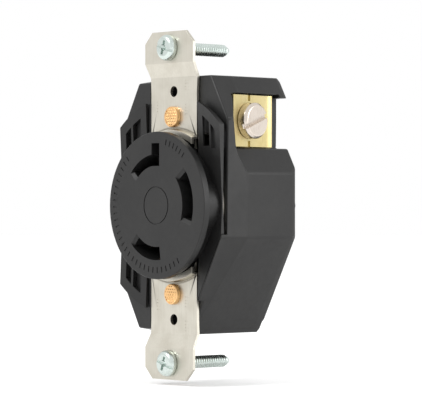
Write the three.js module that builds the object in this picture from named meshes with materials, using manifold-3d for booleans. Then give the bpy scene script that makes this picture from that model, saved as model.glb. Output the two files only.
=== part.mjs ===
// Three-wire locking single receptacle, 30 A 125 V, flush type, on a steel mounting strap.
// Millimetres, +Z up, +X to the right when facing the outlet, +Y into the wall.
// Origin: midway between the two box-mounting screws, on the back plane of the strap's ears.
import * as THREE from "three";
import { mergeVertices } from "three/addons/utils/BufferGeometryUtils.js";
import Module from "manifold-3d";

const wasm = await Module();
wasm.setup();

// ---------------------------------------------------------------- driving dimensions
const GAP = 0.15; // air between neighbouring pieces
const SLANT = Math.tan(THREE.MathUtils.degToRad(30)); // side slant of the body: X lost per Z gained

const STRAP = {
  thickness: 0.85,
  halfWidth: 9.25, // beside the rivets
  earHalfWidth: 9.75,
  halfLength: 46,
  earStep: 1.75, // the ears stand forward of the middle
  bendStart: 37.6, // |Z| where the ear's flat ends
  bendEnd: 34, // |Z| where the middle's flat begins
  chamfer: 3,
  screwSpacing: 83.34,
  plateSpacing: 60.33,
  screwHole: 2.1, // radius
  plateHole: 1.45,
  rivetZ: 23.45,
  holeRadius: 17.4, // round opening that the cover's barrel passes
  ringRadius: 19.2,
  landInner: 18.5, // raised land behind the disc
  landOuter: 20,
  landFoot: 20.3, // radius where its outer wall meets the flat strap
  landRise: 1.8,
  landHalfWidth: 9.2,
  openingHalfWidth: 8.4, // of the opening under the lands
};
const STRAP_FRONT = STRAP.earStep - STRAP.thickness; // front face of the strap's middle
const STRAP_BACK = STRAP.earStep;

const DISC = { radius: 19.45, front: -5.3, back: -3.5, round: 0.3 };
const FACE_RING = { inner: 4.75, outer: 5.05, depth: 0.2 };
const BARREL = { radius: 17, end: 3.6 };
const LOBE = { reach: 19.3, radius: 7.2, front: -3.5 };
const FLANGE = {
  halfWidth: 20.25,
  radius: 29.2, // the rounded corners lie on this circle
  back: STRAP_FRONT - 0.2,
  thin: 0.35,
  channel: 10.5, // half width of the gap that the strap lies in
  channelStart: 10,
  rim: 1.05, // height that the body's raised rim takes from the plain corner
};
// Each corner of the flange slopes forward towards its outer corner: y = base - perX |x| - perZ |z|.
const SLOPE = { base: 2.516, perX: 0.1218, perZ: 0.0475 };

const BODY = {
  front: STRAP_BACK + GAP,
  rear: 26.2,
  frontHalfWidth: 20.25,
  halfWidth: 21,
  halfHeight: 34,
  crease: 8.3, // where the front's draft ends
  rearChamferStart: 24,
  rearScale: 0.957,
  coreZ: 8.45, // |Z| where the core's sides start to slant
  cornerZ: 22.6, // |Z| where the full corners start to slant
};
// Front pads of the left half, which come up to the cover's flange beside the strap.
const PAD = { front: 1, x: -9.6, ringRoom: 19.6, edgeZ: 32.8 };
const REAR_STEP = { y: 25.8, z: 30.4 }; // the rear face stands forward above and below this height
const POCKET = { wallX: 14, floor: 15.1, roof: 29.4, lipBottom: 28.5, lipDepth: 2.8, wallIn: 9.8, wallRear: 24.9 };
const WELL = { radius: 15.6, end: 21, mouth: 17.3 };
const WIRE_HOLE = { xIn: 10.8, xOut: 13.4, height: 4.8, offset: 3.6 };

const TERMINAL = {
  x: 16.63, // screw axis at the clamp plate's outer face
  y: 12.68,
  z: 22.2,
  tilt: 8, // degrees towards the rear
  plateThickness: 1.6,
  plateFront: 6.3,
  plateRear: 7.2,
  lip: 1.4,
  halfHeight: 6.8,
  gap: 3, // between clamp plate and fixed plate at rest
  fixedThickness: 1.3,
};
const TERMINAL_SCREW = { headRadius: 4.75, headHeight: 3, shankRadius: 2.3, length: 8.4, slot: 1.2 };
const MOUNT_SCREW = { headRadius: 3.45, headHeight: 2, shankRadius: 1.68, length: 20.6, tip: 1.5 };
const RIVET = { headRadius: 2.75, headHeight: 1.1, shankRadius: 1.55, tailRadius: 2.4 };
const WASHER = { outer: 4.2, inner: 1.85, thickness: 0.8, gap: 2.3 };
const ASSEMBLY_SCREW = { x: 17.6, headRadius: 1.7, headHeight: 1.4, shankRadius: 0.9 };

// Blade slots, angles in degrees anticlockwise from +X as seen from the front.
const NEUTRAL_SLOT = { inner: 10.65, outer: 14.95, from: -17, to: 38 };
const LINE_SLOT = { inner: 10.9, outer: 14.4, from: -132, to: -82.5 };
const GROUND_SLOT = { inner: 10.5, outer: 13.5, from: 97, to: 137 };
const GROUND_LEG = { x0: -1.8, x1: 1.35, z0: 10.38, z1: 16.4 };
const BLADE = 1.9; // blade thickness that a contact grips
const LEAF = 0.8; // contact leaf thickness
const LOCK_TURN = 20; // degrees the plug turns to lock
const GROUND_CLIP_END = 148;
const CONTACT = { front: 5.4, back: 17.5 };
const LINK = { x0: -9, x1: 2.4, z0: 20, z1: 25.6, tabEnd: 7.7, footX: -11.15, thickness: 0.7 };
const ARM = { inner: 11.1, outer: 12.5, y0: 7.6, y1: 9.6, z0: 8, z1: 18 }; // strip from clip to terminal

// Corner signs: [x, z] of the terminals.
const CORNERS = { neutral: [1, 1], ground: [-1, 1], line: [-1, -1] };

// ---------------------------------------------------------------- solids
/** A closed geometry as a manifold solid that faces outwards. */
function solid(geometry) {
  const bare = geometry.index ? geometry.toNonIndexed() : geometry.clone();
  bare.deleteAttribute("normal");
  bare.deleteAttribute("uv");
  const merged = mergeVertices(bare, 1e-4);
  return new wasm.Manifold(
    new wasm.Mesh({
      numProp: 3,
      vertProperties: new Float32Array(merged.attributes.position.array),
      triVerts: new Uint32Array(merged.index.array),
    }),
  );
}

/** A manifold solid as a three.js geometry. */
function geometryOf(body) {
  const mesh = body.getMesh();
  const geometry = new THREE.BufferGeometry();
  geometry.setAttribute("position", new THREE.BufferAttribute(mesh.vertProperties, 3));
  geometry.setIndex(new THREE.BufferAttribute(mesh.triVerts, 1));
  geometry.computeVertexNormals();
  return geometry;
}

/** Joins a list of solids. */
const join = (...bodies) => bodies.reduce((sum, body) => sum.add(body));
/** Takes every other solid from the first. */
const cut = (body, ...tools) => tools.reduce((left, tool) => left.subtract(tool), body);

/** A box between two corners. */
function box(x0, x1, y0, y1, z0, z1) {
  const geometry = new THREE.BoxGeometry(x1 - x0, y1 - y0, z1 - z0);
  geometry.translate((x0 + x1) / 2, (y0 + y1) / 2, (z0 + z1) / 2);
  return solid(geometry);
}

/** A shape drawn in X and Z, extruded along Y from y0 to y1. */
function slab(shape, y0, y1, curveSegments = 24) {
  const options = { depth: y1 - y0, bevelEnabled: false, curveSegments };
  const geometry = new THREE.ExtrudeGeometry(shape, options);
  geometry.rotateX(Math.PI / 2);
  geometry.translate(0, y1, 0);
  return solid(geometry);
}

/** A profile of [y, z] points, extruded along X from x0 to x1. */
function sidePrism(points, x0, x1) {
  const options = { depth: x1 - x0, bevelEnabled: false };
  const geometry = new THREE.ExtrudeGeometry(polygon(points), options);
  geometry.applyMatrix4(new THREE.Matrix4().set(0, 0, 1, x0, 1, 0, 0, 0, 0, 1, 0, 0, 0, 0, 0, 1));
  return solid(geometry);
}

/** A closed outline through a list of points. */
const polygon = (points) => new THREE.Shape(points.map(([a, b]) => new THREE.Vector2(a, b)));

/** A solid turned about the Y axis from a closed [radius, y] profile. */
function turned(profile, segments = 48) {
  const points = profile.map(([r, y]) => new THREE.Vector2(r, y));
  return solid(new THREE.LatheGeometry(points, segments));
}

/** A cylinder along Y. */
function rod(radius, y0, y1, x = 0, z = 0, segments = 32) {
  const profile = [[0, y0], [radius, y0], [radius, y1], [0, y1]];
  return turned(profile, segments).translate([x, 0, z]);
}

/** An arc-shaped slot between two radii and two angles in degrees. */
function arcShape({ inner, outer, from, to }) {
  const a = THREE.MathUtils.degToRad(from);
  const b = THREE.MathUtils.degToRad(to);
  const shape = new THREE.Shape();
  shape.absarc(0, 0, outer, a, b, false);
  shape.absarc(0, 0, inner, b, a, true);
  shape.closePath();
  return shape;
}

/** A rectangle as a shape. */
const rectangle = (x0, x1, z0, z1) => polygon([[x0, z0], [x1, z0], [x1, z1], [x0, z1]]);

/** Moves every vertex of a solid. */
const bend = (body, move) => body.warp(move);

/** A solid mirrored into a corner given by the signs of x and z. */
function inCorner(body, [sx, sz]) {
  const flippedX = sx < 0 ? body.mirror([1, 0, 0]) : body;
  return sz < 0 ? flippedX.mirror([0, 0, 1]) : flippedX;
}

/** A solid in a terminal's own frame, out along the screw, placed in the upper right corner. */
function atTerminal(body) {
  return body.rotate([0, 0, TERMINAL.tilt]).translate([TERMINAL.x, TERMINAL.y, TERMINAL.z]);
}

/** A box in a terminal's own frame: u out along the screw, v to the rear, w up. */
const terminalBox = (u0, u1, v0, v1, w0, w1) => atTerminal(box(u0, u1, v0, v1, w0, w1));

// ---------------------------------------------------------------- front cover
/** One corner plate of the flange, in the upper right, with its sloped front. */
function flangeCorner(shape) {
  const { back, thin } = FLANGE;
  const above = bend(box(-5, 40, -10, 0, -5, 40), (p) => {
    if (p[1] > -5) p[1] = SLOPE.base - SLOPE.perX * p[0] - SLOPE.perZ * p[2];
  });
  return cut(slab(shape, -2, back), above).add(slab(shape, back - thin, back));
}

/** Outline of a full flange corner, from the channel round to the side. */
function fullCornerShape() {
  const { halfWidth, radius, channel } = FLANGE;
  const start = Math.acos(halfWidth / radius);
  const end = Math.acos(channel / radius);
  const shape = new THREE.Shape();
  shape.moveTo(0, 0);
  shape.lineTo(halfWidth, 0);
  shape.absarc(0, 0, radius, start, end, false);
  shape.lineTo(channel, FLANGE.channelStart);
  shape.lineTo(0, FLANGE.channelStart);
  shape.closePath();
  return shape;
}

/** Z gained per X lost along the front edge of the plain corner. */
function plainSlope() {
  const { frontHalfWidth, halfWidth, halfHeight, coreZ } = BODY;
  const height = halfHeight - coreZ;
  const farX = (halfWidth - height * SLANT) * (frontHalfWidth / halfWidth);
  return height / (frontHalfWidth - farX);
}

/** Outline of the plain lower right part, drawn upwards and mirrored later. */
function plainCornerShape() {
  const { halfWidth, channel, channelStart, rim } = FLANGE;
  const cornerZ = BODY.coreZ - rim - GAP;
  const channelZ = cornerZ + (halfWidth - channel) * plainSlope();
  return polygon([
    [0, 0],
    [halfWidth, 0],
    [halfWidth, cornerZ],
    [channel, channelZ],
    [channel, channelStart],
    [0, channelStart],
  ]);
}

/** The two deep windows in a full flange corner. */
function flangeWindows() {
  const radius = 26.6;
  const outline = (x0, x1, bottom) => {
    const shape = new THREE.Shape();
    shape.moveTo(x0, bottom);
    shape.lineTo(x1, bottom);
    shape.absarc(0, 0, radius, Math.acos(x1 / radius), Math.acos(x0 / radius), false);
    shape.closePath();
    return slab(shape, -3, 2, 6);
  };
  return join(outline(12.6, 15.5, 15.5), outline(16.2, 18.2, 14.8));
}

/** Face disc, barrel, side lobes and flange: the front moulding. */
function faceCover() {
  const { radius, front, back, round } = DISC;
  const edge = [0, 30, 60, 90].map((angle) => {
    const t = THREE.MathUtils.degToRad(angle);
    return [radius - round + round * Math.sin(t), front + round - round * Math.cos(t)];
  });
  const disc = turned([[0, front], ...edge, [radius, back], [0, back]], 72);
  const barrel = rod(BARREL.radius, back - 0.5, BARREL.end, 0, 0, 56);
  const lobes = [1, -1].map((s) =>
    rod(LOBE.radius, LOBE.front, FLANGE.back, s * (LOBE.reach - LOBE.radius), 0, 32),
  );
  const corners = [[1, 1], [-1, 1], [-1, -1]].map((corner) =>
    inCorner(cut(flangeCorner(fullCornerShape()), flangeWindows()), corner),
  );
  const plain = inCorner(flangeCorner(plainCornerShape()), [1, -1]);
  const moulding = join(disc, barrel, ...lobes, ...corners, plain);
  const pilots = [1, -1].map((s) => rod(1.15, -1.7, 5, s * ASSEMBLY_SCREW.x, 0, 16));
  const { inner, outer, depth } = FACE_RING;
  const ring = turned(
    [[inner, front - 1], [outer, front - 1], [outer, front + depth], [inner, front + depth], [inner, front - 1]],
    36,
  );
  return cut(moulding, ...bladeSlots(front - 1, BARREL.end + 1), ...slotBevels(), ...pilots, ring);
}

/** Ramp that leads into a slot at one of its ends, at an angle and over a length in millimetres. */
function endRamp(slot, angle, length) {
  const depth = 0.6;
  const side = Math.sign(length);
  const profile = [
    [DISC.front - 1, -0.4 * side],
    [DISC.front - 1, length],
    [DISC.front, length],
    [DISC.front + depth, 0.1 * side],
    [DISC.front + depth, -0.4 * side],
  ];
  if (side > 0) profile.reverse();
  const inner = slot.inner + 0.06;
  const outer = slot.outer - 0.06;
  const wedge = sidePrism(profile, inner - 1, outer + 1).rotate([0, -angle, 0]);
  const low = DISC.front - 2;
  const ring = turned([[inner, low], [outer, low], [outer, 0], [inner, 0], [inner, low]], 72);
  return wedge.intersect(ring);
}

/** All lead-in ramps of the blade slots. */
const slotBevels = () => [
  endRamp(NEUTRAL_SLOT, NEUTRAL_SLOT.to, 0.9),
  endRamp(NEUTRAL_SLOT, NEUTRAL_SLOT.from, -1),
  endRamp(LINE_SLOT, LINE_SLOT.from, -0.9),
  endRamp(GROUND_SLOT, GROUND_SLOT.to, 0.9),
];

/** The three blade slots as cutting tools. */
function bladeSlots(y0, y1) {
  const leg = rectangle(GROUND_LEG.x0, GROUND_LEG.x1, GROUND_LEG.z0, GROUND_LEG.z1);
  return [
    slab(arcShape(NEUTRAL_SLOT), y0, y1, 12),
    slab(arcShape(LINE_SLOT), y0, y1, 12),
    join(slab(arcShape(GROUND_SLOT), y0, y1, 12), slab(leg, y0, y1)),
  ];
}

// ---------------------------------------------------------------- mounting strap
/** Side view of the strap from one ear tip to the other, as a closed band. */
function strapBand() {
  const { thickness, earStep, bendStart, bendEnd, halfLength } = STRAP;
  const backFace = [
    [0, halfLength],
    [0, bendStart],
    [earStep, bendEnd],
    [earStep, -bendEnd],
    [0, -bendStart],
    [0, -halfLength],
  ];
  const frontFace = backFace.map(([y, z]) => [y - thickness, z]).reverse();
  return sidePrism([...backFace, ...frontFace].reverse(), -25, 25);
}

/** Front view of the strap: ears with cut corners, straight middle, widened ring. */
function strapOutline() {
  const { halfLength, chamfer, earHalfWidth, halfWidth, bendStart, bendEnd } = STRAP;
  const right = [
    [earHalfWidth - chamfer, halfLength],
    [earHalfWidth, halfLength - chamfer],
    [earHalfWidth, bendStart],
    [halfWidth + 0.2, bendEnd],
    [halfWidth, bendEnd - 4],
  ];
  const mirrored = (sx, sz) => right.map(([x, z]) => [sx * x, sz * z]);
  return polygon([
    ...mirrored(1, 1),
    ...mirrored(1, -1).reverse(),
    ...mirrored(-1, -1),
    ...mirrored(-1, 1).reverse(),
  ]);
}

/** The raised land behind the disc, above the hole, with the wall that carries it. */
function strapLand() {
  const { landInner, landOuter, landFoot, landRise, thickness, landHalfWidth } = STRAP;
  const front = STRAP_FRONT - landRise;
  const band = [
    [landInner, front],
    [landOuter, front],
    [landFoot, STRAP_FRONT],
    [landFoot, STRAP_BACK],
    [landOuter, STRAP_BACK],
    [landOuter - thickness / 2, front + thickness],
    [landInner, front + thickness],
    [landInner, front],
  ];
  return turned(band, 72).intersect(
    box(-landHalfWidth, landHalfWidth, front - 1, STRAP_BACK + 1, 0, 30),
  );
}

/** One stamped strap: ears, middle, ring and the two raised lands. */
function mountingStrap() {
  const { holeRadius, ringRadius, landOuter, openingHalfWidth: across } = STRAP;
  const flat = join(
    slab(strapOutline(), STRAP_FRONT - 5, STRAP_BACK + 5),
    rod(ringRadius, STRAP_FRONT - 5, STRAP_BACK + 5, 0, 0, 72),
  ).intersect(strapBand());
  const opening = join(
    rod(holeRadius, -6, 6, 0, 0, 64),
    rod(landOuter, -6, 6, 0, 0, 72).intersect(box(-across, across, -6, 6, -25, 25)),
  );
  const land = strapLand();
  const holes = [1, -1].flatMap((s) => [
    rod(STRAP.screwHole, -3, 3, 0, (s * STRAP.screwSpacing) / 2, 24),
    rod(STRAP.plateHole, -3, 3, 0, (s * STRAP.plateSpacing) / 2, 20),
    rod(RIVET.shankRadius + GAP, -3, 3, 0, s * STRAP.rivetZ, 20),
    rod(ASSEMBLY_SCREW.shankRadius + 0.25, -3, 3, s * ASSEMBLY_SCREW.x, 0, 16),
  ]);
  return cut(join(cut(flat, opening), land, land.mirror([0, 0, 1])), ...holes);
}

// ---------------------------------------------------------------- rear body
/** Full outline of the body: three full corners and one that slants from the core. */
function bodyOutline() {
  const { halfWidth, halfHeight, cornerZ, coreZ } = BODY;
  const fullTop = halfWidth - (halfHeight - cornerZ) * SLANT;
  const plainTop = halfWidth - (halfHeight - coreZ) * SLANT;
  return polygon([
    [halfWidth, cornerZ],
    [fullTop, halfHeight],
    [-fullTop, halfHeight],
    [-halfWidth, cornerZ],
    [-halfWidth, -cornerZ],
    [-fullTop, -halfHeight],
    [plainTop, -halfHeight],
    [halfWidth, -coreZ],
  ]);
}

/** Outer block with a drafted front and a chamfered rear. */
function bodyBlock() {
  const { front, rear, crease, rearChamferStart, rearScale, frontHalfWidth, halfWidth } = BODY;
  const middle = slab(bodyOutline(), crease, rearChamferStart);
  const nose = bend(slab(bodyOutline(), front, crease), (p) => {
    if (p[1] < front + 0.1) p[0] *= frontHalfWidth / halfWidth;
  });
  const tail = bend(slab(bodyOutline(), rearChamferStart, rear), (p) => {
    if (p[1] > rear - 0.1) p[0] *= rearScale;
  });
  return join(nose, middle, tail);
}

/** Front pads of the left half, clear of the strap and its ring. */
function leftPads() {
  const { front, frontHalfWidth, halfWidth } = BODY;
  const outline = slab(bodyOutline(), PAD.front, front + 0.1).scale([frontHalfWidth / halfWidth, 1, 1]);
  const beside = outline.intersect(box(-25, PAD.x, 0, 5, -40, 40));
  return cut(beside, rod(PAD.ringRoom, 0, 5, 0, 0, 64));
}

/** Slope that lowers the front top edge of the left half. */
const leftEdgeSlope = () =>
  sidePrism(
    [[PAD.front - 0.1, PAD.edgeZ], [BODY.crease, BODY.halfHeight + 0.05], [BODY.crease, 36], [PAD.front - 0.1, 36]],
    -25,
    PAD.x,
  );

/** Raised rim on the plain lower right corner, flush with the cover's front. */
function cornerRim() {
  const { halfWidth, channel, rim } = FLANGE;
  const start = BODY.coreZ;
  const lowX = channel + 0.47;
  const end = start + (halfWidth - lowX) * plainSlope();
  const shape = polygon([
    [halfWidth, start],
    [lowX, end],
    [lowX, end - rim],
    [halfWidth, start - rim],
  ]);
  const raised = bend(slab(shape, 0, BODY.front + 1.5), (p) => {
    if (p[1] < 0.5) p[1] = SLOPE.base - SLOPE.perX * p[0] - SLOPE.perZ * p[2];
  });
  return inCorner(raised, [1, -1]);
}

/** Side view of a terminal pocket, as [y, z] points. */
function pocketProfile() {
  const { floor, roof, lipBottom, lipDepth } = POCKET;
  const { coreZ, crease, rear } = BODY;
  return [
    [crease, coreZ],
    [rear + 1, coreZ],
    [rear + 1, 36],
    [REAR_STEP.y, 36],
    [REAR_STEP.y, lipBottom],
    [REAR_STEP.y - lipDepth, lipBottom],
    [REAR_STEP.y - lipDepth, roof],
    [6.8, roof],
    [4.05, 22.6],
    [4.8, floor],
    [5.5, 13],
  ];
}

/** The open terminal pocket of one corner, as a cutting tool in the upper right. */
function pocketTool() {
  const { wallX, floor, lipBottom, wallIn, wallRear } = POCKET;
  const { coreZ, halfWidth, rear } = BODY;
  const floorX = halfWidth - (floor - coreZ) * SLANT;
  const frontView = slab(
    polygon([[wallX, floor], [floorX, floor], [halfWidth, coreZ], [30, coreZ], [30, 40], [wallX, 40]]),
    0,
    rear + 2,
  );
  const wallRecess = box(wallIn, wallX + 1, wallRear, rear + 1, floor, lipBottom);
  return sidePrism(pocketProfile(), 0, 30).intersect(frontView).add(wallRecess);
}

/** Rounded top rear edge and the step of the rear face above and below the core. */
function rearStep() {
  const { halfHeight, rear } = BODY;
  return sidePrism(
    [
      [REAR_STEP.y - 1.1, halfHeight + 0.1],
      [REAR_STEP.y - 0.5, halfHeight - 0.25],
      [REAR_STEP.y, halfHeight - 1],
      [REAR_STEP.y, REAR_STEP.z + 0.8],
      [rear + 0.1, REAR_STEP.z],
      [rear + 1, REAR_STEP.z],
      [rear + 1, halfHeight + 2],
      [REAR_STEP.y - 1.1, halfHeight + 2],
    ],
    -25,
    25,
  );
}

/** Room behind the clamp plate for the fixed plate and the screw's end, in the upper right. */
function terminalRoom() {
  const t = TERMINAL;
  const depth = t.plateThickness + t.gap + t.fixedThickness + 0.5;
  const { halfHeight, plateFront, plateRear, lip } = t;
  const high = halfHeight + 0.3;
  return join(
    terminalBox(-depth, 0.4, -plateFront - 0.3, plateRear + lip + 0.3, -high, high - 0.15),
    terminalBox(-depth - 3.6, -depth + 1, -4.3, 4.3, -4.3, 4.3),
  );
}

/** Two wire entries of one terminal, from the rear face into the terminal room. */
function wireHoles() {
  const { xIn, xOut, height, offset } = WIRE_HOLE;
  return [1, -1].map((s) => {
    const z = TERMINAL.z + s * offset;
    return box(xIn, xOut, 17, BODY.rear + 1, z - height / 2, z + height / 2);
  });
}

/** The rear housing with its contact well, three terminal pockets and wire entries. */
function rearBody() {
  const rivetHoles = [1, -1].flatMap((s) => [
    rod(RIVET.shankRadius + GAP, 0, 30, 0, s * STRAP.rivetZ, 20),
    rod(RIVET.tailRadius + 0.4, BODY.rear - 1.4, 30, 0, s * STRAP.rivetZ, 24),
    rod(STRAP.plateHole + 0.3, 0, 14, 0, (s * STRAP.plateSpacing) / 2, 16),
  ]);
  const screwHoles = [1, -1].flatMap((s) => [
    rod(ASSEMBLY_SCREW.shankRadius + 0.2, 0, 30, s * ASSEMBLY_SCREW.x, 0, 16),
    rod(ASSEMBLY_SCREW.headRadius + 0.3, BODY.rear - 2, 30, s * ASSEMBLY_SCREW.x, 0, 24),
  ]);
  const pockets = Object.values(CORNERS).map((corner) =>
    inCorner(join(pocketTool(), terminalRoom(), ...wireHoles()), corner),
  );
  const arms = Object.keys(CORNERS).map((name) => inCorner(armChannel(), CORNERS[name]));
  const well = join(rod(WELL.radius, 0, WELL.end, 0, 0, 56), rod(WELL.mouth, 0, BARREL.end + 0.2, 0, 0, 56));
  const hookRoom = slab(arcShape({ inner: 15, outer: 16.8, from: 74, to: 102 }), 0, 18, 6);
  return cut(
    join(bodyBlock(), cornerRim(), leftPads()),
    leftEdgeSlope(),
    leftEdgeSlope().mirror([0, 0, 1]),
    well,
    hookRoom,
    groundLinkBed(),
    rearStep(),
    rearStep().mirror([0, 0, 1]),
    ...pockets,
    ...arms,
    ...rivetHoles,
    ...screwHoles,
  );
}

/** Slot in the body that a contact's arm lies in, open to the front, in the upper right. */
const armChannel = () => box(ARM.inner - 0.8, ARM.outer + 0.3, 0, ARM.y1 + 0.3, ARM.z0 - 0.3, ARM.z1 + 0.5);

// ---------------------------------------------------------------- contacts
/** Two spring leaves round a blade path, joined at the back. */
function clip(slot, lockTurn) {
  const middle = (slot.inner + slot.outer) / 2;
  const from = slot.from - lockTurn;
  const leaf = (inner, outer, y0) =>
    slab(arcShape({ inner, outer, from, to: slot.to }), y0, CONTACT.back, 10);
  const half = BLADE / 2;
  return join(
    leaf(middle - half - LEAF, middle - half, CONTACT.front),
    leaf(middle + half, middle + half + LEAF, CONTACT.front),
    leaf(middle - half - LEAF, middle + half + LEAF, CONTACT.back - LEAF),
  );
}

/** Arm and threaded fixed plate of a terminal, in the upper right. */
function terminalArm(inner = ARM.inner) {
  const t = TERMINAL;
  const face = -t.plateThickness - t.gap;
  const plate = terminalBox(face - t.fixedThickness, face, -t.plateFront, t.plateRear, -t.halfHeight, t.halfHeight);
  const boss = atTerminal(rod(4, 0, 1.8, 0, 0, 24).rotate([0, 0, 90]).translate([face - t.fixedThickness, 0, 0]));
  const bore = atTerminal(rod(TERMINAL_SCREW.shankRadius + GAP, 0, 12, 0, 0, 24).rotate([0, 0, 90]));
  const strip = box(inner, ARM.outer, ARM.y0, ARM.y1, ARM.z0, ARM.z1);
  return cut(join(plate, boss, strip), bore);
}

/** Contact under the right-hand slot, with its terminal at the upper right. */
const neutralContact = () => join(clip(NEUTRAL_SLOT, LOCK_TURN), terminalArm());

/** Contact under the lower slot, with its terminal at the lower left. */
const lineContact = () => join(clip(LINE_SLOT, LOCK_TURN), inCorner(terminalArm(), CORNERS.line));

/** Contact under the hooked slot, with its terminal at the upper left. */
function groundContact() {
  const path = { ...GROUND_SLOT, to: GROUND_CLIP_END };
  return join(clip(path, LOCK_TURN), inCorner(terminalArm(ARM.inner - 0.5), CORNERS.ground));
}

/** Insulating block that fills the well and keeps the three contacts apart. */
function contactCarrier() {
  const block = rod(WELL.radius - 0.3, BARREL.end + 0.3, WELL.end - 0.3, 0, 0, 48);
  const around = (slot) => {
    const middle = (slot.inner + slot.outer) / 2;
    const reach = BLADE / 2 + LEAF + 0.3;
    const room = {
      inner: middle - reach,
      outer: middle + reach,
      from: slot.from - LOCK_TURN - 2,
      to: slot.to + 2,
    };
    return slab(arcShape(room), 0, CONTACT.back + 0.3, 10);
  };
  const hookSweep = slab(arcShape({ inner: 12, outer: 17, from: 74, to: 102 }), 0, CONTACT.back + 0.3, 6);
  const arms = Object.values(CORNERS).map((corner) => inCorner(armChannel(), corner));
  return cut(
    block,
    around(NEUTRAL_SLOT),
    around(LINE_SLOT),
    around({ ...GROUND_SLOT, to: GROUND_CLIP_END }),
    hookSweep,
    ...arms,
  );
}

/** Brass strip that bonds the strap to the ground terminal. */
function groundLink() {
  const { x0, x1, z0, z1, tabEnd, footX, thickness } = LINK;
  const front = BODY.front + GAP;
  return cut(
    join(
      box(x0, x1, front, front + thickness, z0, z1),
      box(x0, x0 + thickness, front, tabEnd, z0 + 0.5, z1 - 0.5),
      box(footX, x0 + thickness, tabEnd - thickness, tabEnd, z0 + 0.5, z1 - 0.5),
    ),
    rod(RIVET.shankRadius + GAP, 0, 6, 0, STRAP.rivetZ, 20),
  );
}

/** Bed and passage in the body for the bonding strip. */
function groundLinkBed() {
  const { x0, x1, z0, z1, tabEnd, thickness } = LINK;
  const air = 0.3;
  return join(
    box(x0 - air, x1 + air, 0, BODY.front + GAP + thickness + air, z0 - air, z1 + air),
    box(x0 - air, x0 + thickness + air, 0, tabEnd + air, z0, z1),
    box(-12.5, x0 + thickness, tabEnd - thickness - air, tabEnd + air, z0, z1),
  );
}

// ---------------------------------------------------------------- fasteners and clamps
/** Pressure plate under a terminal screw, in the terminal's own frame. */
function clampPlate() {
  const t = TERMINAL;
  const { plateFront, plateRear, lip, plateThickness, halfHeight } = t;
  const outline = [
    [-plateThickness, -plateFront],
    [0, -plateFront],
    [0, plateRear],
    [0.7, plateRear + lip],
    [-0.5, plateRear + lip],
    [-plateThickness, plateRear],
  ];
  const geometry = new THREE.ExtrudeGeometry(polygon(outline), { depth: 2 * halfHeight, bevelEnabled: false });
  geometry.translate(0, 0, -halfHeight);
  const notch = (w0, w1) => box(-0.5, 1, -0.5, 0.5, w0, w1);
  const bore = rod(TERMINAL_SCREW.shankRadius + GAP, -3, 3, 0, 0, 24).rotate([0, 0, 90]);
  const { headRadius } = TERMINAL_SCREW;
  return cut(solid(geometry), notch(headRadius + 0.5, 8), notch(-8, -headRadius - 0.5), bore);
}

/** Binding-head terminal screw along +X, head outwards, underside of the head at x = 0. */
function terminalScrew() {
  const { headRadius, headHeight, shankRadius, length, slot } = TERMINAL_SCREW;
  const profile = [
    [0, -length],
    [shankRadius - 0.5, -length],
    [shankRadius, -length + 0.8],
    [shankRadius, 0.1],
    [headRadius, 0.1],
    [headRadius, headHeight - 0.7],
    [headRadius - 0.7, headHeight],
    [0, headHeight],
  ];
  const screw = turned(profile, 40).rotate([0, 0, -90]);
  const slotBox = box(headHeight - 1.3, headHeight + 1, -slot / 2, slot / 2, -8, 8);
  return cut(screw, slotBox.rotate([-69, 0, 0]));
}

/** Box-mounting screw along Y, head to the front, underside of the head at y = 0. */
function mountingScrew() {
  const { headRadius, headHeight, shankRadius, length, tip } = MOUNT_SCREW;
  const profile = [
    [0, -headHeight],
    [headRadius - 0.8, -headHeight],
    [headRadius, -headHeight + 0.8],
    [headRadius, 0],
    [shankRadius, 0],
    [shankRadius, length - tip],
    [shankRadius - 0.8, length],
    [0, length],
  ];
  const slotWidth = 0.55;
  const slot = box(-5, 5, -headHeight - 1, -headHeight + 0.9, -slotWidth, slotWidth);
  return cut(turned(profile, 32), slot);
}

/** Rivet along Y that holds strap and body together. */
function rivet() {
  const { headRadius, headHeight, shankRadius, tailRadius } = RIVET;
  const top = STRAP_FRONT - 0.05;
  const seat = BODY.rear - 1.4 + 0.05;
  return turned([
    [0, top - headHeight],
    [headRadius - 0.3, top - headHeight],
    [headRadius, top - headHeight + 0.3],
    [headRadius, top],
    [shankRadius, top],
    [shankRadius, seat - 0.1],
    [shankRadius, seat],
    [tailRadius, seat + 0.05],
    [tailRadius, seat + 0.6],
    [tailRadius - 0.5, seat + 1],
    [0, seat + 1],
  ], 28);
}

/** Fibre washer that keeps a mounting screw in its ear. */
function retainingWasher() {
  const { outer, inner, thickness } = WASHER;
  return turned([[inner, 0], [outer, 0], [outer, thickness], [inner, thickness], [inner, 0]], 28);
}

/** Screw from the rear of the body into the cover's boss. */
function assemblyScrew() {
  const { headRadius, headHeight, shankRadius } = ASSEMBLY_SCREW;
  const seat = BODY.rear - 2 - 0.05;
  return turned([
    [0, -1.3],
    [shankRadius, -0.8],
    [shankRadius, seat + 0.1],
    [headRadius, seat + 0.1],
    [headRadius, seat + headHeight - 0.3],
    [headRadius - 0.3, seat + headHeight],
    [0, seat + headHeight],
  ], 24);
}

// ---------------------------------------------------------------- assembly
/** Plain material of a piece. */
const finish = (color, roughness, metalness) =>
  new THREE.MeshStandardMaterial({ color, roughness, metalness });
const BLACK = finish(0x1b1b1c, 0.55, 0);
const NICKEL = finish(0xd4cdc2, 0.32, 1);
const BRASS = finish(0xcdb47c, 0.3, 1);
const COPPER = finish(0xe0b070, 0.35, 1);
const ZINC = finish(0xcfd8d4, 0.3, 1);
const SILVER = finish(0xd8cfc6, 0.3, 1);
const GREEN = finish(0x2f6b45, 0.4, 0.6);
const FIBRE = finish(0x9c4630, 0.8, 0);
const CREAM = finish(0xd9d2bd, 0.7, 0);

const receptacle = new THREE.Group();

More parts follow.
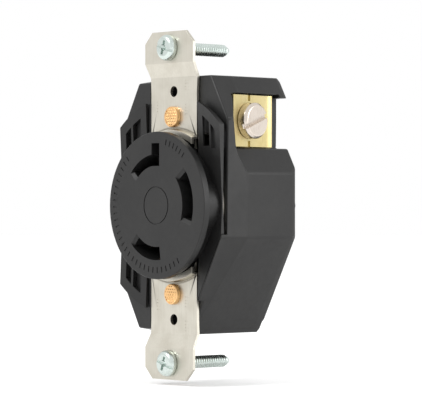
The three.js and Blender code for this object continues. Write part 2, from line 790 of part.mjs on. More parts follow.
/** Adds one named mesh to a group. */
function add(parent, name, body, material) {
  const mesh = new THREE.Mesh(geometryOf(body), material);
  mesh.name = name;
  parent.add(mesh);
  return mesh;
}

add(receptacle, "face_cover", faceCover(), BLACK);
add(receptacle, "mounting_strap", mountingStrap(), NICKEL);
add(receptacle, "rear_body", rearBody(), BLACK);
add(receptacle, "contact_carrier", contactCarrier(), CREAM);
add(receptacle, "neutral_contact", neutralContact(), BRASS);
add(receptacle, "line_contact", lineContact(), BRASS);
add(receptacle, "ground_contact", groundContact(), BRASS);
add(receptacle, "ground_link", groundLink(), BRASS);

const SCREW_FINISH = { neutral: SILVER, ground: GREEN, line: BRASS };
for (const [name, corner] of Object.entries(CORNERS)) {
  add(receptacle, `${name}_clamp_plate`, inCorner(atTerminal(clampPlate()), corner), BRASS);
  add(receptacle, `${name}_terminal_screw`, inCorner(atTerminal(terminalScrew()), corner), SCREW_FINISH[name]);
}

for (const [name, sign] of [["top", 1], ["bottom", -1]]) {
  const holder = new THREE.Group();
  holder.position.set(0, 0, (sign * STRAP.screwSpacing) / 2);
  receptacle.add(holder);
  add(holder, `${name}_mounting_screw`, mountingScrew(), ZINC).position.y = -STRAP.thickness - 0.05;
  add(holder, `${name}_retaining_washer`, retainingWasher(), FIBRE).position.y = WASHER.gap;
  add(receptacle, `${name}_rivet`, rivet(), COPPER).position.z = sign * STRAP.rivetZ;
}

for (const [name, sign] of [["left", -1], ["right", 1]]) {
  add(receptacle, `${name}_assembly_screw`, assemblyScrew(), ZINC).position.x = sign * ASSEMBLY_SCREW.x;
}

export default receptacle;
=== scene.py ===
"""Looks of a flush locking receptacle: black moulding, plated strap, brass clamps and bright screws.

Metres, +Z up, +X to the right when facing the outlet, +Y into the wall.
"""
import logging
import math
import random
from dataclasses import dataclass, field
from enum import Enum
from typing import Callable, Iterable, Optional, Sequence

import bmesh
import bpy
from mathutils import Matrix, Vector


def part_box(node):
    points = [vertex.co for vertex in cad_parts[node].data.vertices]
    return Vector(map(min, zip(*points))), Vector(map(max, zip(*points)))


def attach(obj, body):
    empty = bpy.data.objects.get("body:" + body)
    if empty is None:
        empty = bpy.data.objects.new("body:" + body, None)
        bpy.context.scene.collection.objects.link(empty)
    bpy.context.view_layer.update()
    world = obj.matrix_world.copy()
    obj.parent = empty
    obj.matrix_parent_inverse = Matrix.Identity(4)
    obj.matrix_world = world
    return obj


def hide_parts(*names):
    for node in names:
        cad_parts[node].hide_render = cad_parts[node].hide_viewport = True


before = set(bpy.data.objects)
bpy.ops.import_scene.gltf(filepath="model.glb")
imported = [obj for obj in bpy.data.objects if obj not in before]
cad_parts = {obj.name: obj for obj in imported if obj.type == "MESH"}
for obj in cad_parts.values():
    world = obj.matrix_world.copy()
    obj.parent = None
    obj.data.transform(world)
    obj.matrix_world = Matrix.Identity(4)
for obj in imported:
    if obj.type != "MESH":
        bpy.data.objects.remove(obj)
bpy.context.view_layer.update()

LOG = logging.getLogger("receptacle")
MM = 0.001
Colour = tuple[float, float, float]


class Body(Enum):
    """Moving bodies that are not named after a terminal or an end of the strap."""

    HOUSING = "housing"


class Corner(Enum):
    """Terminals with the signs of their X and Z."""

    NEUTRAL = (1, 1)
    GROUND = (-1, 1)
    LINE = (-1, -1)


class End(Enum):
    """Ends of the strap, with the sign of Z."""

    TOP = 1
    BOTTOM = -1


# ---------------------------------------------------------------- finishes
class Shader:
    """One node material, with short calls for the nodes that the finishes share."""

    def __init__(self, name: str) -> None:
        """Starts an empty material.

        Args:
            name: Name of the material.
        """
        self.material = bpy.data.materials.new(name)
        self.material.use_nodes = True
        self.tree = self.material.node_tree
        self.surface = self.tree.nodes["Principled BSDF"]
        self.place = self.node("ShaderNodeTexCoord").outputs["Object"]

    def node(self, kind: str, **settings: object) -> bpy.types.Node:
        """Adds a node.

        Args:
            kind: Blender's node type.
            settings: Properties of the node.

        Returns:
            The new node.
        """
        made = self.tree.nodes.new(kind)
        for key, value in settings.items():
            setattr(made, key, value)
        return made

    def join(self, source: bpy.types.NodeSocket, target: bpy.types.NodeSocket) -> None:
        """Links two sockets."""
        self.tree.links.new(source, target)

    def stretched(self, scale: Sequence[float]) -> bpy.types.NodeSocket:
        """Coordinates stretched along the axes.

        Args:
            scale: Factors along X, Y and Z.

        Returns:
            The vector socket.
        """
        mapping = self.node("ShaderNodeMapping")
        mapping.inputs["Scale"].default_value = scale
        self.join(self.place, mapping.inputs["Vector"])
        return mapping.outputs["Vector"]

    def noise(
        self, scale: float, detail: float = 3.0, stretch: Optional[Sequence[float]] = None
    ) -> bpy.types.NodeSocket:
        """Noise between 0 and 1.

        Args:
            scale: Waves per metre.
            detail: Octaves.
            stretch: Factors along X, Y and Z, or None for even noise.

        Returns:
            The value socket.
        """
        made = self.node("ShaderNodeTexNoise")
        made.inputs["Scale"].default_value = scale
        made.inputs["Detail"].default_value = detail
        self.join(self.stretched(stretch) if stretch else self.place, made.inputs["Vector"])
        return made.outputs["Fac"]

    def pits(self, scale: float) -> bpy.types.NodeSocket:
        """Distance to the nearest of many scattered points.

        Args:
            scale: Points per metre.

        Returns:
            The value socket.
        """
        made = self.node("ShaderNodeTexVoronoi")
        made.inputs["Scale"].default_value = scale
        self.join(self.place, made.inputs["Vector"])
        return made.outputs["Distance"]

    def spread(
        self, value: bpy.types.NodeSocket, low: float, high: float, edges: tuple[float, float] = (0.3, 0.7)
    ) -> bpy.types.NodeSocket:
        """Maps noise to a range of numbers.

        Args:
            value: Socket to map.
            low: Result at the lower edge.
            high: Result at the upper edge.
            edges: Values that map to low and high.

        Returns:
            The value socket.
        """
        made = self.node("ShaderNodeMapRange")
        made.inputs["From Min"].default_value = edges[0]
        made.inputs["From Max"].default_value = edges[1]
        made.inputs["To Min"].default_value = low
        made.inputs["To Max"].default_value = high
        self.join(value, made.inputs["Value"])
        return made.outputs["Result"]

    def blend(
        self, factor: bpy.types.NodeSocket, first: object, second: object
    ) -> bpy.types.NodeSocket:
        """Mixes two colours.

        Args:
            factor: Share of the second colour.
            first: Colour or socket.
            second: Colour or socket.

        Returns:
            The colour socket.
        """
        made = self.node("ShaderNodeMix", data_type="RGBA")
        self.join(factor, made.inputs[0])
        for place, colour in ((made.inputs[6], first), (made.inputs[7], second)):
            if isinstance(colour, bpy.types.NodeSocket):
                self.join(colour, place)
            else:
                place.default_value = (*colour, 1.0)
        return made.outputs[2]

    def ring(self, radius: float, half_width: float) -> bpy.types.NodeSocket:
        """A band round the Y axis, 1 in its middle and 0 outside.

        Args:
            radius: Radius of its middle in millimetres.
            half_width: Half its width in millimetres.

        Returns:
            The value socket.
        """
        flat = self.node("ShaderNodeVectorMath", operation="MULTIPLY")
        flat.inputs[1].default_value = (1.0, 0.0, 1.0)
        self.join(self.place, flat.inputs[0])
        reach = self.node("ShaderNodeVectorMath", operation="LENGTH")
        self.join(flat.outputs["Vector"], reach.inputs[0])
        away = self.node("ShaderNodeMath", operation="SUBTRACT")
        away.inputs[1].default_value = radius * MM
        self.join(reach.outputs["Value"], away.inputs[0])
        size = self.node("ShaderNodeMath", operation="ABSOLUTE")
        self.join(away.outputs["Value"], size.inputs[0])
        return self.spread(size.outputs["Value"], 1.0, 0.0, (0.0, half_width * MM))

    def bump(
        self, height: bpy.types.NodeSocket, depth: float, strength: float, below: Optional[object] = None
    ) -> bpy.types.NodeSocket:
        """Raises the surface by a height.

        Args:
            height: Height between 0 and 1.
            depth: Real height in metres.
            strength: Share of it that is used.
            below: Normal of another bump under this one.

        Returns:
            The normal socket.
        """
        made = self.node("ShaderNodeBump")
        made.inputs["Strength"].default_value = strength
        made.inputs["Distance"].default_value = depth
        self.join(height, made.inputs["Height"])
        if below is not None:
            self.join(below, made.inputs["Normal"])
        return made.outputs["Normal"]

    def close(
        self,
        colour: bpy.types.NodeSocket,
        roughness: bpy.types.NodeSocket,
        normal: bpy.types.NodeSocket,
    ) -> bpy.types.Material:
        """Joins the last sockets to the surface.

        Args:
            colour: Base colour.
            roughness: Roughness.
            normal: Normal.

        Returns:
            The finished material.
        """
        self.join(colour, self.surface.inputs["Base Color"])
        self.join(roughness, self.surface.inputs["Roughness"])
        self.join(normal, self.surface.inputs["Normal"])
        return self.material


@dataclass(frozen=True)
class Moulding:
    """A moulded thermoset: fine grain, faint clouding and a few rubbed spots."""

    name: str = "black_moulding"
    colour: Colour = (0.0085, 0.0084, 0.0085)
    rubbed: Colour = (0.0155, 0.0152, 0.0145)
    roughness: tuple[float, float] = (0.38, 0.5)
    grain_depth: float = 0.035 * MM

    def build(self) -> bpy.types.Material:
        """Makes the material.

        Returns:
            The material.
        """
        shade = Shader(self.name)
        clouds = shade.noise(90.0, 4.0)
        rubs = shade.spread(shade.noise(420.0, 6.0), 0.0, 1.0, (0.5, 0.8))
        base = shade.blend(shade.spread(clouds, 0.0, 0.6), self.colour, self.rubbed)
        colour = shade.blend(shade.spread(rubs, 0.0, 0.35, (0.0, 1.0)), base, self.rubbed)
        grain = shade.noise(7000.0, 2.0)
        ripple = shade.noise(260.0, 2.0)
        normal = shade.bump(ripple, 0.05 * MM, 0.25)
        normal = shade.bump(grain, self.grain_depth, 0.35, normal)
        roughness = shade.spread(shade.noise(700.0, 5.0), *self.roughness)
        shade.surface.inputs["Specular IOR Level"].default_value = 0.37
        return shade.close(colour, roughness, normal)


@dataclass(frozen=True)
class RolledMetal:
    """Sheet or bar metal with rolling lines, small dents and light tarnish."""

    name: str
    colour: Colour
    tarnish: Colour
    roughness: tuple[float, float] = (0.26, 0.42)
    lines: Sequence[float] = (60.0, 60.0, 2.2)
    line_scale: float = 60.0
    tarnish_share: float = 0.5
    line_depth: float = 0.02 * MM
    # Radius in mm of a painted shade ring and its colour: the dark line at the bent foot of the strap's raised
    # land, painted into the base colour.
    bend_shade_radius: Optional[float] = None
    bend_shade_colour: Colour = (0.1, 0.085, 0.06)

    def build(self) -> bpy.types.Material:
        """Makes the material.

        Returns:
            The material.
        """
        shade = Shader(self.name)
        rolling = shade.noise(self.line_scale, 3.0, self.lines)
        patches = shade.spread(shade.noise(230.0, 5.0), 0.0, self.tarnish_share, (0.42, 0.72))
        streaks = shade.spread(rolling, 0.0, 0.25)
        colour = shade.blend(patches, self.colour, self.tarnish)
        colour = shade.blend(streaks, colour, self.tarnish)
        # Painted shade: darkens a thin ring at that radius where the foot of the bend lies in shadow.
        if self.bend_shade_radius is not None:
            band = shade.spread(shade.ring(self.bend_shade_radius, 0.4), 0.0, 0.75, (0.0, 1.0))
            colour = shade.blend(band, colour, self.bend_shade_colour)
        dents = shade.spread(shade.pits(900.0), 0.0, 1.0, (0.0, 0.25))
        normal = shade.bump(dents, 0.02 * MM, 0.12)
        normal = shade.bump(rolling, self.line_depth, 0.3, normal)
        roughness = shade.spread(rolling, *self.roughness)
        shade.surface.inputs["Metallic"].default_value = 1.0
        return shade.close(colour, roughness, normal)


@dataclass(frozen=True)
class DullSolid:
    """A dull pressed material, such as fibre or an unpainted moulding."""

    name: str
    colour: Colour
    fleck: Colour
    fleck_scale: float = 1500.0
    roughness: tuple[float, float] = (0.7, 0.9)

    def build(self) -> bpy.types.Material:
        """Makes the material.

        Returns:
            The material.
        """
        shade = Shader(self.name)
        flecks = shade.noise(self.fleck_scale, 5.0)
        colour = shade.blend(shade.spread(flecks, 0.0, 1.0), self.colour, self.fleck)
        normal = shade.bump(flecks, 0.05 * MM, 0.4)
        return shade.close(colour, shade.spread(shade.noise(600.0), *self.roughness), normal)


FINISHES: dict[str, object] = {
    "black_moulding": Moulding(),
    # The strap carries a painted shade ring at 20.55 mm, the shadowed foot of its raised land.
    "strap_nickel": RolledMetal(
        "strap_nickel", (0.61, 0.584, 0.515), (0.47, 0.44, 0.37), (0.34, 0.48), bend_shade_radius=20.55
    ),
    "clamp_brass": RolledMetal("clamp_brass", (0.6, 0.51, 0.27), (0.45, 0.36, 0.14), (0.26, 0.42)),
    "contact_brass": RolledMetal("contact_brass", (0.62, 0.5, 0.26), (0.45, 0.34, 0.13), (0.25, 0.4)),
    "brass_screw": RolledMetal("brass_screw", (0.66, 0.53, 0.27), (0.48, 0.36, 0.14), (0.24, 0.36)),
    "silver_screw": RolledMetal("silver_screw", (0.7, 0.63, 0.56), (0.5, 0.44, 0.38), (0.24, 0.36)),
    "green_screw": RolledMetal("green_screw", (0.08, 0.3, 0.16), (0.04, 0.16, 0.08), (0.3, 0.45)),
    "rivet_copper": RolledMetal("rivet_copper", (0.86, 0.55, 0.27), (0.6, 0.34, 0.13), (0.26, 0.4)),
    "screw_zinc": RolledMetal("screw_zinc", (0.64, 0.71, 0.68), (0.42, 0.48, 0.44), (0.2, 0.36)),
    "fibre": DullSolid("fibre", (0.3, 0.07, 0.035), (0.17, 0.035, 0.02)),
    "carrier_moulding": DullSolid("carrier_moulding", (0.6, 0.55, 0.44), (0.52, 0.47, 0.37)),
}


class Wardrobe:
    """Makes each finish once and dresses objects in it."""

    def __init__(self) -> None:
        """Starts with no material made."""
        self.made: dict[str, bpy.types.Material] = {}

    def dress(self, piece: bpy.types.Object, slot: str) -> None:
        """Gives a piece the finish of a material slot.

        Args:
            piece: Mesh object.
            slot: Name of the finish, a key of FINISHES.
        """
        if slot not in self.made:
            self.made[slot] = FINISHES[slot].build()
        piece.data.materials.clear()
        piece.data.materials.append(self.made[slot])


# ---------------------------------------------------------------- mesh tools
def new_object(name: str, shape: bmesh.types.BMesh) -> bpy.types.Object:
    """Turns a bmesh into an object of the scene.

    Args:
        name: Name of the object.
        shape: Mesh to use; it is freed.

    Returns:
        The object.
    """
    mesh = bpy.data.meshes.new(name)
    shape.to_mesh(mesh)
    shape.free()
    piece = bpy.data.objects.new(name, mesh)
    bpy.context.scene.collection.objects.link(piece)
    return piece


def turned_shape(profile: Sequence[tuple[float, float]], segments: int) -> bmesh.types.BMesh:
    """Turns an outline round the Y axis; its ends lie on the axis.

    Args:
        profile: Pairs of radius and Y in millimetres, first and last at radius 0.
        segments: Sides of the turned shape.

    Returns:
        A closed mesh.
    """
    shape = bmesh.new()
    rings: list[list[bmesh.types.BMVert]] = []
    for radius, y in profile:
        if radius < 1e-6:
            rings.append([shape.verts.new((0.0, y * MM, 0.0))])
            continue
        turn = [2 * math.pi * i / segments for i in range(segments)]
        rings.append(
            [shape.verts.new((radius * MM * math.cos(a), y * MM, radius * MM * math.sin(a))) for a in turn]
        )
    for low, high in zip(rings, rings[1:]):
        for i in range(segments):
            j = (i + 1) % segments
            corners = [low[i % len(low)], low[j % len(low)], high[j % len(high)], high[i % len(high)]]
            unique = list(dict.fromkeys(corners))
            if len(unique) > 2:
                shape.faces.new(unique)
    bmesh.ops.recalc_face_normals(shape, faces=shape.faces)
    return shape


def block_shape(low: Sequence[float], high: Sequence[float], turn: Optional[Matrix] = None) -> bmesh.types.BMesh:
    """A cutting block between two corners.

    Args:
        low: Lowest corner in millimetres.
        high: Highest corner in millimetres.
        turn: Matrix applied afterwards, in metres.

    Returns:
        A closed mesh.
    """
    shape = bmesh.new()
    bmesh.ops.create_cube(shape, size=1.0)
    middle = [(a + b) / 2 * MM for a, b in zip(low, high)]
    size = [(b - a) * MM for a, b in zip(low, high)]
    for vertex in shape.verts:
        vertex.co = Vector([m + s * c for m, s, c in zip(middle, size, vertex.co)])
    if turn is not None:
        bmesh.ops.transform(shape, matrix=turn, verts=shape.verts)
    return shape


def merged(shapes: Iterable[bmesh.types.BMesh]) -> bmesh.types.BMesh:
    """Puts several meshes into one; they are freed."""
    total = bmesh.new()
    for shape in shapes:
        mesh = bpy.data.meshes.new("piece")
        shape.to_mesh(mesh)
        shape.free()
        total.from_mesh(mesh)
        bpy.data.meshes.remove(mesh)
    return total


def carve(piece: bpy.types.Object, cutter: bmesh.types.BMesh) -> None:
    """Cuts a shape out of a piece for good.

    Args:
        piece: Object to cut.
        cutter: Closed shape to take away; it is freed.
    """
    tool = new_object("cutter", cutter)
    modifier = piece.modifiers.new("cut", "BOOLEAN")
    modifier.operation = "DIFFERENCE"
    modifier.solver = "EXACT"
    modifier.object = tool
    graph = bpy.context.evaluated_depsgraph_get()
    mesh = bpy.data.meshes.new_from_object(piece.evaluated_get(graph))
    piece.modifiers.remove(modifier)
    old, piece.data = piece.data, mesh
    bpy.data.meshes.remove(old)
    bpy.data.objects.remove(tool)


def soften(
    piece: bpy.types.Object,
    width: float,
    segments: int = 2,
    round_angle: float = 28.0,
    share: float = 0.3,
    clamp: bool = True,
    flat: bool = False,
) -> None:
    """Joins flat triangles, keeps round faces smooth and rounds every real edge a little.

    Args:
        piece: Object to work on.
        width: Rounding in millimetres.
        segments: Steps of the rounding.
        round_angle: Angle in degrees under which narrow faces count as one round face.
        share: Largest share of a narrow face or a short edge nearby that a rounding takes.
        clamp: Whether all roundings shrink together where two would meet.
        flat: Whether faces keep their own flat normals, as on thin sheet.
    """
    shape = bmesh.new()
    shape.from_mesh(piece.data)
    bmesh.ops.remove_doubles(shape, verts=shape.verts, dist=2e-6)
    bmesh.ops.dissolve_limit(shape, angle_limit=math.radians(0.4), verts=shape.verts, edges=shape.edges)
    weights = shape.edges.layers.float.get("bevel_weight_edge")
    weights = weights or shape.edges.layers.float.new("bevel_weight_edge")
    for face in shape.faces:
        face.smooth = not flat
    for edge in shape.edges:
        if len(edge.link_faces) != 2:
            continue
        angle = math.degrees(edge.calc_face_angle(0.0))
        length = max(edge.calc_length(), 1e-6)
        across = min(face.calc_area() / length for face in edge.link_faces)
        real = angle > round_angle or (angle > 2.0 and across > 3 * MM)
        if not real:
            edge[weights] = 0.0
            continue
        sharp = [
            other.calc_length()
            for vertex in edge.verts
            for other in vertex.link_edges
            if other is not edge and len(other.link_faces) == 2
            and math.degrees(other.calc_face_angle(0.0)) > round_angle
            and abs(direction(edge).dot(direction(other))) < 0.85
        ]
        room = min([across, *sharp])
        edge[weights] = min(1.0, share * room / (width * MM))
    shape.to_mesh(piece.data)
    shape.free()
    stored = piece.data.attributes.get("custom_normal")
    if stored is not None:
        piece.data.attributes.remove(stored)
    bevel = piece.modifiers.new("round", "BEVEL")
    bevel.limit_method = "WEIGHT"
    bevel.width = width * MM
    bevel.segments = segments
    bevel.harden_normals = not flat
    bevel.use_clamp_overlap = clamp
    if flat:
        return
    level = piece.modifiers.new("even", "WEIGHTED_NORMAL")
    level.weight = 100
    level.keep_sharp = True


def direction(edge: bmesh.types.BMEdge) -> Vector:
    """Unit vector along an edge."""
    return (edge.verts[1].co - edge.verts[0].co).normalized()


def copy_of(node: str, name: str) -> bpy.types.Object:
    """A free copy of a node's shape.

    Args:
        node: Name of the node.
        name: Name of the copy.

    Returns:
        The copy, not yet riding on a body.
    """
    shape = bmesh.new()
    shape.from_mesh(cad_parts[node].data)
    bmesh.ops.remove_doubles(shape, verts=shape.verts, dist=2e-6)
    return new_object(name, shape)


def bar(angle: float, radius: float, y: float, size: Sequence[float]) -> bmesh.types.BMesh:
    """A short block that points outwards on a circle of the face.

    Args:
        angle: Degrees anticlockwise from +X, seen from the front.
        radius: Radius of its middle in millimetres.
        y: Its middle along Y.
        size: Length outwards, depth and width in millimetres.

    Returns:
        A closed mesh.
    """
    half = [value / 2 for value in size]
    turn = Matrix.Rotation(-math.radians(angle), 4, "Y")
    low = (radius - half[0], y - half[1], -half[2])
    high = (radius + half[0], y + half[1], half[2])
    return block_shape(low, high, turn)


# ---------------------------------------------------------------- sub-assemblies
@dataclass
class Assembly:
    """Something that makes pieces, dresses them and lets them ride on a body."""

    wardrobe: Wardrobe

    def place(self, piece: bpy.types.Object, slot: str, body: str, *nodes: str) -> None:
        """Dresses a piece, hides the nodes that it stands for and sets it riding on a body.

        Args:
            piece: The piece.
            slot: Material slot, a key of FINISHES.
            body: Body that it rides on.
            nodes: Nodes that it stands for.
        """
        self.wardrobe.dress(piece, slot)
        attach(piece, body)
        if nodes:
            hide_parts(*nodes)
        LOG.info("%s: %d vertices on %s, %s", piece.name, len(piece.data.vertices), body, slot)


@dataclass
class Housing(Assembly):
    """The black front cover and the rear body."""

    cover_edge: float = 0.2
    body_edge: float = 0.42
    tick_radius: float = 17.0
    tick_size: tuple[float, float, float] = (1.5, 0.3, 0.42)
    tick_arcs: tuple[tuple[float, float, float], ...] = (
        (-124.0, -58.0, 6.0),
        (133.0, 229.0, 6.0),
        (50.0, 76.0, 5.2),
    )
    face_y: float = -5.3

    def index_ticks(self) -> bmesh.types.BMesh:
        """Plain sunk ticks round the rim of the face.

        Returns:
            A cutting shape.
        """
        bars = []
        for start, stop, step in self.tick_arcs:
            count = int(round((stop - start) / step))
            bars += [bar(start + i * step, self.tick_radius, self.face_y, self.tick_size) for i in range(count + 1)]
        return merged(bars)

    def build(self) -> None:
        """Makes both mouldings."""
        cover = copy_of("face_cover", "cover_moulding")
        carve(cover, self.index_ticks())
        soften(cover, self.cover_edge)
        self.place(cover, "black_moulding", Body.HOUSING.value, "face_cover")
        body = copy_of("rear_body", "body_moulding")
        soften(body, self.body_edge, clamp=False)
        self.place(body, "black_moulding", Body.HOUSING.value, "rear_body")


@dataclass
class Strap(Assembly):
    """The stamped strap with its plain stamped marks."""

    edge: float = 0.12
    front_y: float = 0.9
    mark_depth: float = 0.09
    mark_rows: tuple[tuple[float, float, float], ...] = ((5.4, 33.0, 1.6), (5.4, 26.6, 1.6), (-6.2, 27.6, 1.3))

    def marks(self) -> bmesh.types.BMesh:
        """Short sunk bars beside the plate holes.

        Returns:
            A cutting shape.
        """
        bars = []
        low, high = self.front_y - self.mark_depth, self.front_y + self.mark_depth
        for x, z, length in self.mark_rows:
            for sign in (1, -1):
                for step in range(4):
                    top = sign * (z - step * 0.85)
                    bars.append(block_shape((x - length / 2, low, top - 0.11), (x + length / 2, high, top + 0.11)))
        return merged(bars)

    def build(self) -> None:
        """Makes the strap."""
        strap = copy_of("mounting_strap", "steel_strap")
        carve(strap, self.marks())
        soften(strap, self.edge, flat=True)
        self.place(strap, "strap_nickel", Body.HOUSING.value, "mounting_strap")


@dataclass
class Rivet(Assembly):
    """A rivet whose flat head is stamped with a field of small dimples."""

    end: End = End.TOP
    head_radius: float = 2.75
    head_height: float = 1.1
    rings: int = 26
    sides: int = 84
    dimple_pitch: float = 0.85
    dimple_radius: float = 0.27
    dimple_depth: float = 0.22

    def dimple(self, x: float, z: float) -> float:
        """Depth of the dimples at a point of the head.

        Args:
            x: Millimetres from the axis.
            z: Millimetres from the axis.

        Returns:
            Depth in millimetres.
        """
        row = round(z / (self.dimple_pitch * 0.866))
        offset = 0.5 * (row % 2)
        column = round(x / self.dimple_pitch - offset)
        dx = x - (column + offset) * self.dimple_pitch
        dz = z - row * self.dimple_pitch * 0.866
        near = math.hypot(dx, dz) / self.dimple_radius
        return self.dimple_depth * max(0.0, 1.0 - near * near)

    def build(self) -> None:
        """Makes the rivet on its node's place."""
        low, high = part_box(f"{self.end.name.lower()}_rivet")
        front, back = low.y / MM, high.y / MM
        r, top = self.head_radius, front + self.head_height
        profile = [(0.0, front)]
        profile += [(r * 0.9 * i / self.rings, front) for i in range(1, self.rings + 1)]
        profile += [(r * 0.97, front + 0.08), (r, front + 0.28), (r, top), (1.55, top), (1.55, back - 1.05)]
        profile += [(2.4, back - 1.0), (2.4, back - 0.5), (1.9, back), (0.0, back)]
        shape = turned_shape(profile, self.sides)
        for vertex in shape.verts:
            x, z = vertex.co.x / MM, vertex.co.z / MM
            if abs(vertex.co.y / MM - front) < 1e-4 and math.hypot(x, z) < r * 0.86:
                vertex.co.y += self.dimple(x, z) * MM
        bmesh.ops.translate(shape, vec=(0, 0, (low.z + high.z) / 2), verts=shape.verts)
        piece = new_object(f"{self.end.name.lower()}_stamped_rivet", shape)
        smooth_by_angle(piece, 35.0)
        self.place(piece, "rivet_copper", Body.HOUSING.value, f"{self.end.name.lower()}_rivet")


def smooth_by_angle(piece: bpy.types.Object, angle: float) -> None:
    """Smooths a piece except over edges sharper than an angle in degrees."""
    piece.data.polygons.foreach_set("use_smooth", [True] * len(piece.data.polygons))
    piece.data.set_sharp_from_angle(angle=math.radians(angle))


@dataclass
class MountingScrew(Assembly):
    """A box-mounting screw with a domed head, a combined recess and a rolled thread."""

    end: End = End.TOP
    head_radius: float = 3.45
    head_height: float = 2.0
    root: float = 1.3
    crest: float = 1.68
    pitch: float = 0.794
    steps: int = 8
    sides: int = 40
    tip: float = 1.5
    end_radius: float = 0.9
    slot_turn: float = 18.0

    def head(self) -> bpy.types.Object:
        """The head on a short neck, underside at y = 0.

        Returns:
            The object.
        """
        r, h = self.head_radius, self.head_height
        arc = []
        for i in range(9):
            t = math.radians(90 * i / 8)
            arc.append((r - 1.25 + 1.25 * math.sin(t), -h + 1.35 - 1.35 * math.cos(t) + 0.0))
        profile = [(0.0, -h), (r * 0.3, -h), *arc, (r, -0.15), (r - 0.12, 0.0), (self.root, 0.0)]
        profile += [(self.root, 0.6), (0.0, 0.6)]
        piece = new_object("screw_head", turned_shape(profile, 56))
        spin = Matrix.Rotation(math.radians(self.slot_turn), 4, "Y")
        slot = block_shape((-5, -h - 1, -0.42), (5, -h + 0.75, 0.42), spin)
        cross = block_shape((-0.42, -h - 1, -1.9), (0.42, -h + 0.95, 1.9), spin)
        well = turned_shape([(0, -h - 0.5), (1.15, -h - 0.5), (0.5, -h + 1.15), (0, -h + 1.2)], 20)
        for cutter in (slot, cross, well):
            carve(piece, cutter)
        return piece

    def shank(self, length: float) -> bpy.types.Object:
        """The threaded shank from y = 0.3 to its pointed end.

        Args:
            length: Distance from the head's underside to the point.

        Returns:
            The object.
        """
        shape = bmesh.new()
        rows = int((length - 0.3) / self.pitch * self.steps)
        rings = []
        for row in range(rows + 1):
            y = 0.3 + (length - 0.3) * row / rows
            ring = []
            for side in range(self.sides):
                turn = 2 * math.pi * side / self.sides
                phase = (y / self.pitch - side / self.sides) % 1.0
                depth = abs(2 * phase - 1)
                left = max(0.0, length - y)
                crest = min(self.crest, self.end_radius + (self.crest - self.end_radius) * left / self.tip)
                root = min(self.root, crest)
                radius = (root + (crest - root) * min(1.0, 1.25 * depth)) * MM
                ring.append(shape.verts.new((radius * math.cos(turn), y * MM, radius * math.sin(turn))))
            rings.append(ring)
        for low, high in zip(rings, rings[1:]):
            for i in range(self.sides):
                j = (i + 1) % self.sides
                shape.faces.new((low[i], low[j], high[j], high[i]))
        shape.faces.new(rings[0])
        shape.faces.new(rings[-1])
        bmesh.ops.recalc_face_normals(shape, faces=shape.faces)
        return new_object("screw_shank", shape)

    def build(self) -> None:
        """Makes head and shank on their node's place."""
        name = self.end.name.lower()
        low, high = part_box(f"{name}_mounting_screw")
        under = low.y + self.head_height * MM
        place = Vector((0, under, (low.z + high.z) / 2))
        head, shank = self.head(), self.shank((high.y - under) / MM)
        for piece in (head, shank):
            for vertex in piece.data.vertices:
                vertex.co += place
        head.name, shank.name = f"{name}_screw_head", f"{name}_screw_thread"
        soften(head, 0.08)
        smooth_by_angle(shank, 50.0)
        self.place(head, "screw_zinc", f"{name}_screw", f"{name}_mounting_screw")
        self.place(shank, "screw_zinc", f"{name}_screw")


@dataclass
class Terminal(Assembly):
    """A brass clamp plate and its slotted screw."""

    corner: Corner = Corner.NEUTRAL
    screw_slot: str = "silver_screw"

    def build(self) -> None:
        """Makes plate and screw."""
        name = self.corner.name.lower()
        plate = copy_of(f"{name}_clamp_plate", f"{name}_pressure_plate")
        soften(plate, 0.14)
        self.place(plate, "clamp_brass", f"{name}_clamp", f"{name}_clamp_plate")
        screw = copy_of(f"{name}_terminal_screw", f"{name}_slotted_screw")
        soften(screw, 0.18, 3)
        self.place(screw, self.screw_slot, f"{name}_screw", f"{name}_terminal_screw")


@dataclass
class HiddenPieces(Assembly):
    """Pieces that show only from behind or through the slots."""

    slots: dict[str, str] = field(
        default_factory=lambda: {
            "contact_carrier": "carrier_moulding",
            "neutral_contact": "contact_brass",
            "line_contact": "contact_brass",
            "ground_contact": "contact_brass",
            "ground_link": "contact_brass",
            "left_assembly_screw": "screw_zinc",
            "right_assembly_screw": "screw_zinc",
            "top_retaining_washer": "fibre",
            "bottom_retaining_washer": "fibre",
        }
    )

    def build(self) -> None:
        """Dresses the nodes as they are."""
        for node, slot in self.slots.items():
            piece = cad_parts[node]
            self.wardrobe.dress(piece, slot)
            bevel = piece.modifiers.new("round", "BEVEL")
            bevel.limit_method = "ANGLE"
            bevel.angle_limit = math.radians(40)
            bevel.width = 0.05 * MM
            LOG.info("%s: dressed in %s", node, slot)


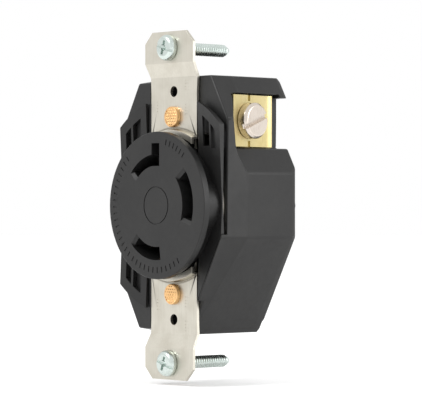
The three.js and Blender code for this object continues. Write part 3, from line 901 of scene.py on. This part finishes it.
# ---------------------------------------------------------------- studio
@dataclass
class Studio:
    """Floor, light and camera."""

    azimuth: float = 48.77
    elevation: float = -0.41
    distance: float = 0.655117
    aside: float = 0.009837
    above: float = 0.00093
    lens: float = 211.2
    floor_z: float = -0.0475

    def directions(self) -> tuple[Vector, Vector, Vector]:
        """Back, right and up of the camera.

        Returns:
            Three unit vectors.
        """
        a, e = math.radians(self.azimuth), math.radians(self.elevation)
        back = Vector((math.sin(a) * math.cos(e), -math.cos(a) * math.cos(e), math.sin(e)))
        right = Vector((math.cos(a), math.sin(a), 0.0))
        return back, right, back.cross(right)

    def camera(self) -> None:
        """Puts the camera in place."""
        back, right, up = self.directions()
        data = bpy.data.cameras.new("camera")
        data.lens, data.sensor_width = self.lens, 36.0
        data.clip_start, data.clip_end = 0.01, 100.0
        camera = bpy.data.objects.new("camera", data)
        camera.matrix_world = Matrix((right, up, back)).transposed().to_4x4()
        camera.location = Vector((0, 0.0009, 0)) + back * self.distance + right * self.aside + up * self.above
        bpy.context.scene.collection.objects.link(camera)
        bpy.context.scene.camera = camera

    def floor(self) -> None:
        """A wide pale floor."""
        shape = bmesh.new()
        bmesh.ops.create_circle(shape, cap_ends=True, segments=64, radius=6.0)
        bmesh.ops.translate(shape, vec=(0, 0, self.floor_z), verts=shape.verts)
        floor = new_object("floor", shape)
        shade = Shader("pale_floor")
        speckle = shade.noise(30.0, 4.0)
        colour = shade.blend(speckle, (0.93, 0.93, 0.93), (0.95, 0.95, 0.95))
        shade.surface.inputs["Specular IOR Level"].default_value = 0.1
        shade.surface.inputs["Emission Color"].default_value = (1.0, 1.0, 1.0, 1.0)
        shade.surface.inputs["Emission Strength"].default_value = 0.12
        floor.data.materials.append(
            shade.close(colour, shade.spread(speckle, 0.8, 0.9), shade.bump(speckle, 0.1 * MM, 0.05))
        )

    def lamp(self, name: str, place: Sequence[float], size: float, power: float) -> None:
        """A soft square lamp that faces the object.

        Args:
            name: Name of the lamp.
            place: Position in metres.
            size: Side of the square in metres.
            power: Watts.
        """
        data = bpy.data.lights.new(name, "AREA")
        data.shape, data.size, data.energy = "SQUARE", size, power
        lamp = bpy.data.objects.new(name, data)
        lamp.location = place
        lamp.rotation_euler = (-Vector(place)).to_track_quat("-Z", "Y").to_euler()
        bpy.context.scene.collection.objects.link(lamp)

    def world(self) -> None:
        """Even white surroundings."""
        world = bpy.data.worlds.new("studio")
        world.use_nodes = True
        background = world.node_tree.nodes["Background"]
        background.inputs["Color"].default_value = (1.0, 1.0, 1.0, 1.0)
        background.inputs["Strength"].default_value = 1.0
        bpy.context.scene.world = world

    def build(self) -> None:
        """Sets up the whole studio."""
        self.camera()
        self.floor()
        self.world()
        self.lamp("key", (-0.3, -1.0, 0.85), 0.25, 6.5)
        self.lamp("side", (1.05, 0.5, 0.4), 0.6, 6.0)
        settings = bpy.context.scene.view_settings
        settings.view_transform = "Standard"
        settings.look = "None"


def main() -> None:
    """Builds every sub-assembly and the studio."""
    logging.basicConfig(level=logging.INFO, format="%(name)s: %(message)s")
    random.seed(7)
    wardrobe = Wardrobe()
    parts: list[Assembly] = [Housing(wardrobe), Strap(wardrobe), HiddenPieces(wardrobe)]
    parts += [Rivet(wardrobe, end=end) for end in End]
    parts += [MountingScrew(wardrobe, end=end) for end in End]
    parts += [
        Terminal(wardrobe, corner=Corner.NEUTRAL, screw_slot="silver_screw"),
        Terminal(wardrobe, corner=Corner.GROUND, screw_slot="green_screw"),
        Terminal(wardrobe, corner=Corner.LINE, screw_slot="brass_screw"),
    ]
    for part in parts:
        part.build()
    Studio().build()


if __name__ == "__main__":
    main()
